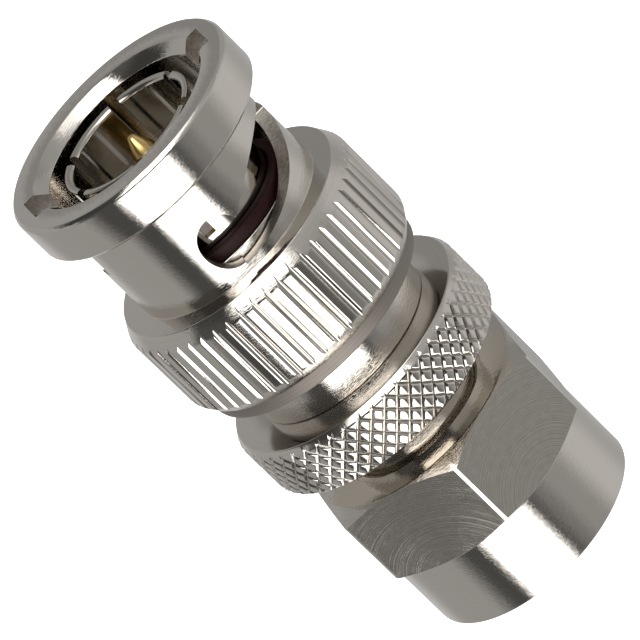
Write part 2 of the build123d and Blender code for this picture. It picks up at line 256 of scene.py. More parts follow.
@dataclass(frozen=True)
class TurnedMetal:
    """Plated metal with the fine rings that a lathe leaves on cylinders and end faces."""

    name: str
    color: Color
    roughness: float
    roughness_spread: float
    ring_scale: float
    ring_depth: float
    stain: float = 0.06
    streak_depth: float = 0.0010
    streak_scale: float = 3300.0
    streak_squeeze: float = 6.0
    blotch_scale: float = 420.0

    def material(self) -> bpy.types.Material:
        """Builds the node material.

        Returns:
            The finished material.
        """
        surface = Surface(self.name, metallic=1.0)
        place = surface.place()
        rings = self._rings(surface, place)
        clean = 1.0 - self.stain
        stained = tuple(c * clean for c in self.color)
        surface.tint(rings, (0.25, stained), (0.65, self.color))
        blotch = surface.noise(place, self.blotch_scale, 3.0)
        surface.roughen(blotch, self.roughness, self.roughness_spread, 0.3, 0.7)
        surface.emboss(rings, self.ring_depth)
        surface.emboss(self._streaks(surface, place), self.streak_depth)
        return surface.material

    def _streaks(self, surface: Surface, place: bpy.types.NodeSocket) -> bpy.types.NodeSocket:
        """Adds a noise of short strokes round the axis, which break up the edges of reflections.

        Args:
            surface: The surface in work.
            place: The position on the object.

        Returns:
            The noise's value.
        """
        scale = (1.0, 1.0, self.streak_squeeze)
        squeeze = add(surface.tree, "ShaderNodeMapping", {"Vector": place, "Scale": scale})
        return surface.noise(squeeze.outputs["Vector"], self.streak_scale, 2.0)

    def _rings(self, surface: Surface, place: bpy.types.NodeSocket) -> bpy.types.NodeSocket:
        """Adds a noise that is the same all round the axis and changes along it and outwards.

        Args:
            surface: The surface in work.
            place: The position on the object.

        Returns:
            The noise's value.
        """
        parts = add(surface.tree, "ShaderNodeSeparateXYZ", {"Vector": place}).outputs
        flat = add(surface.tree, "ShaderNodeCombineXYZ", {"X": parts["X"], "Y": parts["Y"]})
        values = {0: surface.length(flat.outputs["Vector"]), 1: parts["Z"]}
        along = add(surface.tree, "ShaderNodeMath", values, operation="ADD")
        return surface.noise(along.outputs["Value"], self.ring_scale, 2.0)


@dataclass(frozen=True)
class MilledMetal:
    """Plated metal with a milling cutter's arcs, laid out on a UV map in millimetres."""

    name: str
    color: Color
    dark: Color
    roughness: float
    arc_scale: float
    arc_depth: float
    patch_scale: float = 2.2
    faintest: float = 0.7

    def material(self) -> bpy.types.Material:
        """Builds the node material.

        Returns:
            The finished material.
        """
        surface = Surface(self.name, metallic=1.0)
        surface.inputs["Roughness"].default_value = self.roughness
        place = add(surface.tree, "ShaderNodeUVMap", {}, uv_map=ARC_MAP).outputs["UV"]
        arcs = surface.noise(surface.length(place), self.arc_scale, 4.0, 0.7)
        patches = surface.noise(place, self.patch_scale, 5.0)
        values = {"Value": patches, "To Min": self.faintest}
        fade = add(surface.tree, "ShaderNodeMapRange", values).outputs["Result"]
        product = add(surface.tree, "ShaderNodeMath", {0: arcs, 1: fade}, operation="MULTIPLY")
        height = product.outputs["Value"]
        surface.tint(height, (0.3, self.dark), (0.55, self.color))
        surface.emboss(height, self.arc_depth)
        return surface.material


@dataclass(frozen=True)
class Grained:
    """A fine grain: moulded rubber or plastic, or metal left coarse by a small cutter."""

    name: str
    color: Color
    dark: Color
    roughness: float
    grain_scale: float
    grain_depth: float
    subsurface: float = 0.0
    shine: float = 0.5
    metallic: float = 0.0
    roughness_spread: float = 0.08
    scatter: float = 0.4

    def material(self) -> bpy.types.Material:
        """Builds the node material.

        Returns:
            The finished material.
        """
        surface = Surface(self.name, self.metallic)
        surface.inputs["Specular IOR Level"].default_value = self.shine
        if self.subsurface:
            surface.inputs["Subsurface Weight"].default_value = self.subsurface
            surface.inputs["Subsurface Scale"].default_value = self.scatter * MM
        grain = surface.noise(surface.place(), self.grain_scale, 4.0)
        surface.tint(grain, (0.3, self.dark), (0.7, self.color))
        surface.roughen(grain, self.roughness, self.roughness_spread)
        surface.emboss(grain, self.grain_depth, strength=0.8)
        return surface.material


class Finishes:
    """The adapter's finishes, each built once."""

    def __init__(self) -> None:
        """Builds every material."""
        nickel = (0.66, 0.62, 0.565)
        self.bright = TurnedMetal(
            "bright_nickel", nickel, 0.05, 0.02, 22000.0, 0.0006, streak_depth=0.008
        ).material()
        self.plain = TurnedMetal(
            "turned_nickel", nickel, 0.06, 0.02, 15000.0, 0.0010, streak_depth=0.011
        ).material()
        self.satin = TurnedMetal(
            "satin_nickel", (0.30, 0.27, 0.24), 0.62, 0.06, 12000.0, 0.003, stain=0.12
        ).material()
        self.knurl = TurnedMetal("knurled_nickel", nickel, 0.12, 0.03, 9000.0, 0.0006).material()
        self.walls = Grained(
            "cut_nickel", nickel, (0.40, 0.37, 0.33), 0.36, 5200.0, 0.006, metallic=1.0
        ).material()
        self.milled = MilledMetal(
            "milled_nickel", (0.64, 0.60, 0.54), (0.42, 0.39, 0.35), 0.22, 20.0, 0.010
        ).material()
        self.contact = TurnedMetal(
            "contact_plate", (0.60, 0.56, 0.50), 0.09, 0.02, 16000.0, 0.002, stain=0.1
        ).material()
        self.gold = TurnedMetal(
            "gold_plate", (0.70, 0.50, 0.20), 0.2, 0.04, 14000.0, 0.0015
        ).material()
        self.spring = TurnedMetal(
            "spring_steel", (0.42, 0.41, 0.39), 0.35, 0.06, 9000.0, 0.002, stain=0.15
        ).material()
        self.ptfe = Grained(
            "white_ptfe", (0.84, 0.83, 0.80), (0.76, 0.75, 0.71), 0.45, 2600.0, 0.01, 0.2
        ).material()
        # Painted shade: the seals' red is darkened far below red silicone's own colour, to stand
        # for the shadow that falls in the sleeve's cam windows where the front seal is seen.
        red, dark_red_in_painted_shade = (0.022, 0.004, 0.004), (0.012, 0.002, 0.002)
        self.rubber = Grained(
            "red_silicone_in_painted_shade", red, dark_red_in_painted_shade, 0.5, 3500.0, 0.012, shine=0.2
        ).material()


# Mesh tools, all in millimetres until a piece is finished


@dataclass(frozen=True)
class Corner:
    """A corner of a turned profile: radius, height and the rounding of its edge."""

    radius: float
    height: float
    rounding: float = 0.0


def turned(profile: list[Corner], steps: int = TURN_STEPS) -> BMesh:
    """Turns a closed profile round the Z axis, with each corner rounded.

    Args:
        profile: The corners in order round the section.
        steps: Faces in a full turn.

    Returns:
        The closed turned shape.
    """
    mesh = bmesh.new()
    corners = [mesh.verts.new((c.radius, 0, c.height)) for c in profile]
    mesh.faces.new(corners)
    for vert, corner in zip(corners, profile):
        if corner.rounding:
            bmesh.ops.bevel(
                mesh,
                geom=[vert],
                offset=corner.rounding,
                offset_type="OFFSET",
                affect="VERTICES",
                segments=3,
                profile=0.5,
                material=-1,
                clamp_overlap=True,
            )
    bmesh.ops.delete(mesh, geom=mesh.faces[:], context="FACES_ONLY")
    bmesh.ops.spin(
        mesh,
        geom=mesh.verts[:] + mesh.edges[:],
        cent=(0, 0, 0),
        axis=UP,
        angle=FULL_TURN,
        steps=steps,
        use_merge=True,
    )
    bmesh.ops.remove_doubles(mesh, verts=mesh.verts[:], dist=1e-5)
    bmesh.ops.recalc_face_normals(mesh, faces=mesh.faces[:])
    return mesh


@dataclass(frozen=True)
class Ring:
    """A plain ring: its radii, its heights and the rounding of its four edges."""

    inner: float
    outer: float
    low: float
    high: float
    rounding: float

    def mesh(self) -> BMesh:
        """Turns the ring.

        Returns:
            The closed ring.
        """
        spots = (
            (self.inner, self.low),
            (self.outer, self.low),
            (self.outer, self.high),
            (self.inner, self.high),
        )
        return turned([Corner(r, z, self.rounding) for r, z in spots], RING_STEPS)


def block(low: tuple[float, float, float], high: tuple[float, float, float]) -> BMesh:
    """Makes a rectangular cutter between two corners.

    Args:
        low: The lowest corner.
        high: The highest corner.

    Returns:
        The block.
    """
    mesh = bmesh.new()
    bmesh.ops.create_cube(mesh, size=1.0)
    size = Vector(high) - Vector(low)
    bmesh.ops.scale(mesh, vec=size, verts=mesh.verts[:])
    bmesh.ops.translate(mesh, vec=Vector(low) + size / 2, verts=mesh.verts[:])
    return mesh


def grow(mesh: BMesh, height: float) -> None:
    """Extrudes all faces of a flat mesh upwards.

    Args:
        mesh: The flat mesh.
        height: How far it grows.
    """
    grown = bmesh.ops.extrude_face_region(mesh, geom=mesh.faces[:], use_keep_orig=True)
    top = [v for v in grown["geom"] if isinstance(v, BMVert)]
    bmesh.ops.translate(mesh, vec=UP * height, verts=top)


def prism(
    outline: list[tuple[float, float]], low: float, high: float, rounding: float = 0.0
) -> BMesh:
    """Extrudes an outline in the XY plane from one height to another.

    Args:
        outline: The outline's corners in order.
        low: The lower height.
        high: The upper height.
        rounding: The rounding of the first corner.

    Returns:
        The closed prism.
    """
    mesh = bmesh.new()
    corners = [mesh.verts.new((x, y, low)) for x, y in outline]
    mesh.faces.new(corners)
    if rounding:
        bmesh.ops.bevel(
            mesh,
            geom=[corners[0]],
            offset=rounding,
            affect="VERTICES",
            segments=5,
            profile=0.5,
            material=-1,
        )
    grow(mesh, high - low)
    bmesh.ops.recalc_face_normals(mesh, faces=mesh.faces[:])
    return mesh


def close_ends(mesh: BMesh) -> None:
    """Fills the open ends of a mesh and turns its faces outwards.

    Args:
        mesh: The mesh to close.
    """
    bmesh.ops.holes_fill(mesh, edges=[e for e in mesh.edges if e.is_boundary], sides=0)
    bmesh.ops.recalc_face_normals(mesh, faces=mesh.faces[:])


def turned_by(mesh: BMesh, degrees: float) -> BMesh:
    """Turns a mesh about the Z axis.

    Args:
        mesh: The mesh to turn.
        degrees: The angle.

    Returns:
        The same mesh.
    """
    turn = Matrix.Rotation(math.radians(degrees), 3, "Z")
    bmesh.ops.rotate(mesh, verts=mesh.verts[:], cent=(0, 0, 0), matrix=turn)
    return mesh


def around(mesh: BMesh, count: int) -> BMesh:
    """Repeats a mesh in place round the Z axis.

    Args:
        mesh: The mesh to repeat.
        count: Copies in a full turn.

    Returns:
        The same mesh.
    """
    original = mesh.verts[:] + mesh.edges[:] + mesh.faces[:]
    for index in range(1, count):
        copy = bmesh.ops.duplicate(mesh, geom=original)
        bmesh.ops.rotate(
            mesh,
            verts=[v for v in copy["geom"] if isinstance(v, BMVert)],
            cent=(0, 0, 0),
            matrix=Matrix.Rotation(FULL_TURN * index / count, 3, "Z"),
        )
    return mesh


def as_object(name: str, mesh: BMesh) -> bpy.types.Object:
    """Links a new object that owns the mesh, and frees the mesh.

    Args:
        name: The object's name.
        mesh: The mesh to store.

    Returns:
        The object.
    """
    data = bpy.data.meshes.new(name)
    mesh.to_mesh(data)
    mesh.free()
    thing = bpy.data.objects.new(name, data)
    bpy.context.scene.collection.objects.link(thing)
    return thing


def cut(
    piece: bpy.types.Object,
    cutter: BMesh,
    mode: CutMode = CutMode.REMOVE,
    walls: Layer = Layer.TURNED,
) -> None:
    """Cuts a piece with a closed mesh.

    Args:
        piece: The object to cut.
        cutter: The closed mesh that cuts it.
        mode: Whether what lies in the cutter goes or stays.
        walls: The finish of the walls that the cutter leaves.
    """
    for face in cutter.faces:
        face.material_index = walls.value
    tool = as_object("cutter", cutter)
    for thing in (piece, tool):
        while len(thing.data.materials) < 3:
            thing.data.materials.append(None)
    step = piece.modifiers.new("cut", "BOOLEAN")
    step.operation = mode.value
    step.solver = "EXACT"
    step.material_mode = "INDEX"
    step.object = tool
    bake(piece)
    bpy.data.objects.remove(tool)


def bake(piece: bpy.types.Object) -> None:
    """Applies a piece's modifiers to its mesh.

    Args:
        piece: The object.
    """
    bpy.context.view_layer.update()
    graph = bpy.context.evaluated_depsgraph_get()
    result = bpy.data.meshes.new_from_object(
        piece.evaluated_get(graph), preserve_all_data_layers=True, depsgraph=graph
    )
    old = piece.data
    piece.modifiers.clear()
    piece.data = result
    bpy.data.meshes.remove(old)


@dataclass
class Piece:
    """A finished piece of the adapter: its name, body, slot and the node it stands for."""

    name: str
    body: Body
    slot: Slot
    node: str
    sharp_angle: float = 32.0
    weld: float = 2e-4
    shortest_edge: float = 1e-4

    def finish(self, thing: bpy.types.Object, *materials: bpy.types.Material) -> bpy.types.Object:
        """Scales the mesh to metres, cleans and shades it, attaches it to its body and hides the
        node it stands for.

        Args:
            thing: The object with a mesh in millimetres.
            materials: The materials in the order of the layers.

        Returns:
            The finished object.
        """
        mesh = bmesh.new()
        mesh.from_mesh(thing.data)
        bmesh.ops.remove_doubles(mesh, verts=mesh.verts[:], dist=self.weld)
        bmesh.ops.dissolve_degenerate(mesh, dist=self.shortest_edge, edges=mesh.edges[:])
        bmesh.ops.scale(mesh, vec=(MM, MM, MM), verts=mesh.verts[:])
        layers = [min(face.material_index, len(materials) - 1) for face in mesh.faces]
        mesh.to_mesh(thing.data)
        mesh.free()
        thing.data.materials.clear()
        for material in materials:
            thing.data.materials.append(material)
        thing.data.polygons.foreach_set("material_index", layers)
        thing.data.shade_smooth()
        thing.data.set_sharp_from_angle(angle=math.radians(self.sharp_angle))
        thing.modifiers.new("weigh", "WEIGHTED_NORMAL").keep_sharp = True
        bake(thing)
        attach(thing, self.body.value)
        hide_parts(self.node)
        log.info("%s: %d faces on %s", self.name, len(thing.data.polygons), self.body.value)
        return thing


# Sub-assemblies


@dataclass
class CouplingSleeve:
    """The bayonet sleeve: rim, neck with two cam windows, knurled collar, and its bush."""

    front: float = 32.0
    rim_front: float = 32.08
    rim_radius: float = 7.0
    rim_length: float = 2.4
    rim_chamfer: float = 0.2
    neck_radius: float = 5.72
    bore_radius: float = 4.95
    lead_in: float = 0.62
    collar_front: float = 23.75
    collar_rear: float = 17.95
    collar_radius: float = 7.35
    face_radius: float = 6.86
    face_chamfer: float = 0.88
    rear_radius: float = 6.95
    rear_chamfer: float = 0.68
    shoulder: float = 23.3
    spigot_front: float = 19.3
    cavity_radius: float = 6.3
    spigot_radius: float = 6.55
    grooves: int = 54
    groove_depth: float = 0.2
    groove_width: float = 0.4
    groove_stop: float = 0.1
    root_rounding: float = 0.11
    land_break: float = 0.015
    slot_width: float = 2.32
    slot_reach: float = 6.1
    slot_end: float = 4.95
    cam_turn: float = 94.5
    cam_steps: int = 63
    cam_inset: float = 0.8
    cam_outset: float = 0.6
    front_wall: float = 3.9
    front_wall_rise: float = 1.88
    front_wall_start: float = 25.0
    front_wall_span: float = 59.0
    rear_wall: float = 7.82
    rear_wall_rise: float = 2.8
    rear_wall_bend: float = 1.75
    seat_centre: float = 6.15
    seat_half_length: float = 1.55
    seat_half_width: float = 1.3
    seat_inner: float = 3.9
    seat_depth: float = 3.0
    bush_bore: float = 5.4
    bush_flange_radius: float = 6.75
    bush_flange_length: float = 0.81
    bush_spigot_radius: float = 6.5

    def build(self, finishes: Finishes) -> None:
        """Builds and dresses the sleeve and its bush.

        Args:
            finishes: The adapter's finishes.
        """
        self._sleeve(finishes)
        self._bush(finishes)

    def _sleeve(self, finishes: Finishes) -> None:
        """Turns the sleeve, then cuts its knurl, entry slots and cam windows.

        Args:
            finishes: The adapter's finishes.
        """
        neck_end = self.front - self.rim_length
        sleeve = as_object(
            "bayonet_sleeve",
            turned(
                [
                    Corner(self.bore_radius, self.shoulder),
                    Corner(self.bore_radius, self.rim_front - self.lead_in, 0.03),
                    Corner(self.bore_radius + self.lead_in, self.rim_front, 0.12),
                    Corner(self.rim_radius - self.rim_chamfer, self.rim_front, 0.03),
                    Corner(self.rim_radius, self.rim_front - self.rim_chamfer, 0.09),
                    Corner(self.rim_radius, neck_end + self.rim_chamfer, 0.04),
                    Corner(self.rim_radius - self.rim_chamfer, neck_end, 0.03),
                    Corner(self.neck_radius, neck_end, 0.05),
                    Corner(self.neck_radius, self.collar_front, 0.04),
                    Corner(self.face_radius, self.collar_front, 0.05),
                    Corner(self.collar_radius, self.collar_front - self.face_chamfer, 0.12),
                    Corner(self.collar_radius, self.collar_rear + self.rear_chamfer, 0.1),
                    Corner(self.rear_radius, self.collar_rear, 0.1),
                    Corner(self.spigot_radius, self.collar_rear, 0.04),
                    Corner(self.spigot_radius, self.spigot_front),
                    Corner(self.cavity_radius, self.spigot_front),
                    Corner(self.cavity_radius, self.shoulder),
                ]
            ),
        )
        cut(sleeve, self._knurl())
        cut(sleeve, self._entry_slots(), walls=Layer.MILLED)
        cut(sleeve, self._cam_windows(), walls=Layer.MILLED)
        cut(sleeve, self._stud_seats(), walls=Layer.MILLED)
        Piece("bayonet_sleeve", Body.BAYONET, Slot.NICKEL, "coupling_sleeve").finish(
            sleeve, finishes.bright, finishes.walls
        )

    def _knurl(self) -> BMesh:
        """Makes the cutters of the straight knurl: V grooves with round roots and broken edges.

        Returns:
            The cutters, all round.
        """
        root = self.collar_radius - self.groove_depth
        land = self.collar_radius - self.land_break
        half = self.groove_width / 2 - self.land_break
        flare = 3 * self.land_break
        outline = [(root, 0.0), (land, -half), (self.collar_radius + flare / 2, -half - 2 * flare)]
        outline += [(x, -y) for x, y in reversed(outline[1:])]
        low, high = self.collar_rear - OVERRUN, self.collar_front - self.groove_stop
        groove = prism(outline, low, high, self.root_rounding)
        return around(turned_by(groove, 180 / self.grooves), self.grooves)

    def _entry_slots(self) -> BMesh:
        """Makes the cutters of the two stud entry slots inside the rim.

        Returns:
            Both cutters.
        """
        low = (self.bore_radius - OVERRUN, -self.slot_width / 2, self.front - self.slot_end)
        high = (self.slot_reach, self.slot_width / 2, self.front + OVERRUN)
        return around(block(low, high), 2)

    def _walls(self, turn: float) -> tuple[float, float]:
        """Gives the heights of a cam window's front and rear wall.

        Args:
            turn: The turn from the entry slot in degrees.

        Returns:
            The two heights, the front wall's first.
        """
        share = min(max(turn - self.front_wall_start, 0) / self.front_wall_span, 1)
        fore = self.front_wall + self.front_wall_rise * share**2
        left = (self.cam_turn - turn) / self.cam_turn
        aft = self.rear_wall - self.rear_wall_rise * left**self.rear_wall_bend
        return self.front - fore, self.front - aft

    def _cam_windows(self) -> BMesh:
        """Makes the cutters of the two cam windows, grown turn by turn from the entry slots.

        Returns:
            Both cutters.
        """
        inner, outer = self.bore_radius - self.cam_inset, self.neck_radius + self.cam_outset
        mesh = bmesh.new()
        fore, aft = self._walls(0)
        spots = ((inner, fore), (outer, fore), (outer, aft), (inner, aft))
        verts = [mesh.verts.new((radius, 0, height)) for radius, height in spots]
        edges = [mesh.edges.new(pair) for pair in zip(verts, verts[1:] + verts[:1])]
        for index in range(1, self.cam_steps + 1):
            turn = self.cam_turn * index / self.cam_steps
            fore, aft = self._walls(turn)
            grown = bmesh.ops.extrude_edge_only(mesh, edges=edges)
            verts = [v for v in grown["geom"] if isinstance(v, BMVert)]
            edges = [e for e in grown["geom"] if isinstance(e, BMEdge)]
            middle = sum(v.co.z for v in verts) / 4
            for vert in verts:
                height = fore if vert.co.z > middle else aft
                radius = inner if vert.co.xy.length < (inner + outer) / 2 else outer
                spot = Matrix.Rotation(-math.radians(turn), 3, "Z") @ Vector((radius, 0, 0))
                vert.co = (spot.x, spot.y, height)
        close_ends(mesh)
        return around(mesh, 2)

    def _stud_seats(self) -> BMesh:
        """Makes the oval cutters of the two stud seats at the ends of the windows.

        Returns:
            Both cutters.
        """
        mesh = bmesh.new()
        ring = bmesh.ops.create_circle(mesh, cap_ends=True, segments=72, radius=1.0)
        half_size = (self.seat_half_width, self.seat_half_length, 1)
        bmesh.ops.scale(mesh, vec=half_size, verts=ring["verts"])
        grow(mesh, self.seat_depth)
        outwards = Matrix(((0, 0, 1, 0), (1, 0, 0, 0), (0, 1, 0, 0), (0, 0, 0, 1)))
        turn = Matrix.Rotation(-math.radians(self.cam_turn), 4, "Z") @ outwards
        bmesh.ops.translate(mesh, vec=UP * self.seat_inner, verts=mesh.verts[:])
        bmesh.ops.transform(mesh, matrix=turn, verts=mesh.verts[:])
        bmesh.ops.translate(mesh, vec=UP * (self.front - self.seat_centre), verts=mesh.verts[:])
        bmesh.ops.recalc_face_normals(mesh, faces=mesh.faces[:])
        return around(mesh, 2)

    def _bush(self, finishes: Finishes) -> None:
        """Turns the bush that closes the sleeve behind its collar.

        Args:
            finishes: The adapter's finishes.
        """
        rear = self.collar_rear - self.bush_flange_length
        bush = as_object(
            "retaining_bush_turned",
            turned(
                [
                    Corner(self.bush_bore, rear, 0.08),
                    Corner(self.bush_flange_radius, rear, 0.12),
                    Corner(self.bush_flange_radius, self.collar_rear, 0.04),
                    Corner(self.bush_spigot_radius, self.collar_rear),
                    Corner(self.bush_spigot_radius, self.spigot_front, 0.04),
                    Corner(self.bush_bore, self.spigot_front, 0.04),
                ]
            ),
        )
        Piece("retaining_bush_turned", Body.BAYONET, Slot.NICKEL, "retaining_bush").finish(
            bush, finishes.satin
        )


@dataclass
class Housing:
    """The front body in the sleeve and the rear body with its diamond-knurled grip ring."""

    barrel_radius: float = 5.3
    flange_radius: float = 6.15
    nose_radius: float = 4.75
    tail_radius: float = 4.6
    tail_play: float = 0.05
    bore_radius: float = 2.4
    contact_seat: float = 4.1
    tail_rear: float = 12.0
    grip_front: float = 14.9
    grip_rear: float = 11.6
    grip_radius: float = 7.35
    grip_face_radius: float = 7.08
    grip_front_chamfer: float = 0.4
    grip_rear_radius: float = 7.05
    grip_rear_chamfer: float = 0.25
    flange_rear: float = 21.4
    flange_front: float = 23.25
    nose_front: float = 24.65
    front_step: float = 21.8
    neck_radius: float = 4.1
    neck_rear: float = 9.1
    shoulder_radius: float = 4.45
    shoulder_rear: float = 6.1
    rear_seat: float = 3.75
    rear_step: float = 9.0
    groove_radius: float = 4.15
    groove_rear: float = 7.7
    groove_length: float = 0.55
    teeth: int = 52
    tooth_rows: int = 5
    tooth_depth: float = 0.13
    tooth_slope: float = 0.94
    tooth_edge: float = 0.03
    tooth_shift: float = 0.31
    tooth_turn: float = 0.36
    lean: float = 42.3
    drum_low: float = 4.0
    drum_high: float = 20.0

    def build(self, finishes: Finishes) -> None:
        """Builds and dresses both bodies.

        Args:
            finishes: The adapter's finishes.
        """
        self._front(finishes)
        self._rear(finishes)

    def _front(self, finishes: Finishes) -> None:
        """Turns the front body.

        Args:
            finishes: The adapter's finishes.
        """
        body = as_object(
            "front_body_turned",
            turned(
                [
                    Corner(self.bore_radius, self.tail_rear, 0.05),
                    Corner(self.tail_radius, self.tail_rear, 0.08),
                    Corner(self.tail_radius, self.grip_front),
                    Corner(self.barrel_radius, self.grip_front, 0.08),
                    Corner(self.barrel_radius, self.flange_rear, 0.05),
                    Corner(self.flange_radius, self.flange_rear, 0.06),
                    Corner(self.flange_radius, self.flange_front, 0.06),
                    Corner(self.nose_radius, self.flange_front, 0.06),
                    Corner(self.nose_radius, self.nose_front, 0.08),
                    Corner(self.contact_seat, self.nose_front, 0.05),
                    Corner(self.contact_seat, self.front_step),
                    Corner(self.bore_radius, self.front_step, 0.05),
                ]
            ),
        )
        Piece("front_body_turned", Body.CONNECTOR, Slot.NICKEL, "front_body").finish(
            body, finishes.plain
        )

    def _rear(self, finishes: Finishes) -> None:
        """Turns the rear body and cuts its grip ring to crossed knurl teeth.

        Args:
            finishes: The adapter's finishes.
        """
        tail_seat = self.tail_radius + self.tail_play
        groove_front = self.groove_rear + self.groove_length
        body = as_object(
            "rear_body_turned",
            turned(
                [
                    Corner(self.rear_seat, self.shoulder_rear, 0.05),
                    Corner(self.shoulder_radius, self.shoulder_rear, 0.1),
                    Corner(self.shoulder_radius, self.groove_rear, 0.04),
                    Corner(self.groove_radius, self.groove_rear),
                    Corner(self.groove_radius, groove_front),
                    Corner(self.shoulder_radius, groove_front, 0.04),
                    Corner(self.shoulder_radius, self.neck_rear, 0.08),
                    Corner(self.neck_radius, self.neck_rear, 0.06),
                    Corner(self.neck_radius, self.grip_rear, 0.15),
                    Corner(self.grip_rear_radius, self.grip_rear, 0.06),
                    Corner(self.grip_radius, self.grip_rear + self.grip_rear_chamfer, 0.05),
                    Corner(self.grip_radius, self.grip_front - self.grip_front_chamfer, 0.1),
                    Corner(self.grip_face_radius, self.grip_front, 0.06),
                    Corner(tail_seat, self.grip_front, 0.05),
                    Corner(tail_seat, self.tail_rear),
                    Corner(self.bore_radius, self.tail_rear),
                    Corner(self.bore_radius, self.rear_step),
                    Corner(self.rear_seat, self.rear_step),
                ]
            ),
        )
        cut(body, self._knurl_skin(), CutMode.KEEP)
        Piece("rear_body_turned", Body.CONNECTOR, Slot.NICKEL, "rear_body").finish(
            body, finishes.knurl
        )

    def _knurl_skin(self) -> BMesh:
        """Makes a closed drum whose side is the crossed knurl.

        Returns:
            The drum, longer than the grip ring at both ends.
        """
        half_turn = math.pi / self.teeth
        half_rise = self.grip_radius * half_turn / math.tan(math.radians(self.lean))
        middle = (self.grip_rear + self.grip_front) / 2 + self.tooth_shift
        mesh = bmesh.new()
        for row in range(-self.tooth_rows, self.tooth_rows + 1):
            turn, height = half_turn * (row % 2), middle + row * half_rise
            self._tooth(mesh, turn, height, half_turn, half_rise)
        around(turned_by(mesh, self.tooth_turn), self.teeth)
        bmesh.ops.remove_doubles(mesh, verts=mesh.verts[:], dist=1e-4)
        bmesh.ops.recalc_face_normals(mesh, faces=mesh.faces[:])
        self._close_drum(mesh)
        return mesh

    def _tooth(
        self, mesh: BMesh, turn: float, height: float, half_turn: float, half_rise: float
    ) -> None:
        """Adds one tooth to the knurl skin: a diamond with a flat top and broken edges.

        Args:
            mesh: The skin.
            turn: The angle of the tooth's middle in radians.
            height: The height of its middle.
            half_turn: Half its width as an angle.
            half_rise: Half its length along the axis.
        """
        root = self.grip_radius - self.tooth_depth
        spots = (
            (root, turn - half_turn, height),
            (root, turn, height - half_rise),
            (root, turn + half_turn, height),
            (root, turn, height + half_rise),
        )
        face = mesh.faces.new(
            [mesh.verts.new((r * math.cos(a), r * math.sin(a), z)) for r, a, z in spots]
        )
        face.normal_update()
        bmesh.ops.inset_individual(
            mesh,
            faces=[face],
            thickness=self.tooth_depth * self.tooth_slope,
            depth=self.tooth_depth,
            use_even_offset=True,
        )
        bmesh.ops.bevel(
            mesh,
            geom=face.edges[:],
            offset=self.tooth_edge,
            affect="EDGES",
            segments=1,
            profile=0.5,
            material=-1,
        )

    def _close_drum(self, mesh: BMesh) -> None:
        """Closes both open ends of the knurl skin, the lower one below the rear body.

        Args:
            mesh: The open skin.
        """
        rims = [e for e in mesh.edges if e.is_boundary]
        grown = bmesh.ops.extrude_edge_only(mesh, edges=rims)
        middle = (self.grip_rear + self.grip_front) / 2
        for vert in (v for v in grown["geom"] if isinstance(v, BMVert)):
            vert.co.z = self.drum_high if vert.co.z > middle else self.drum_low
        close_ends(mesh)


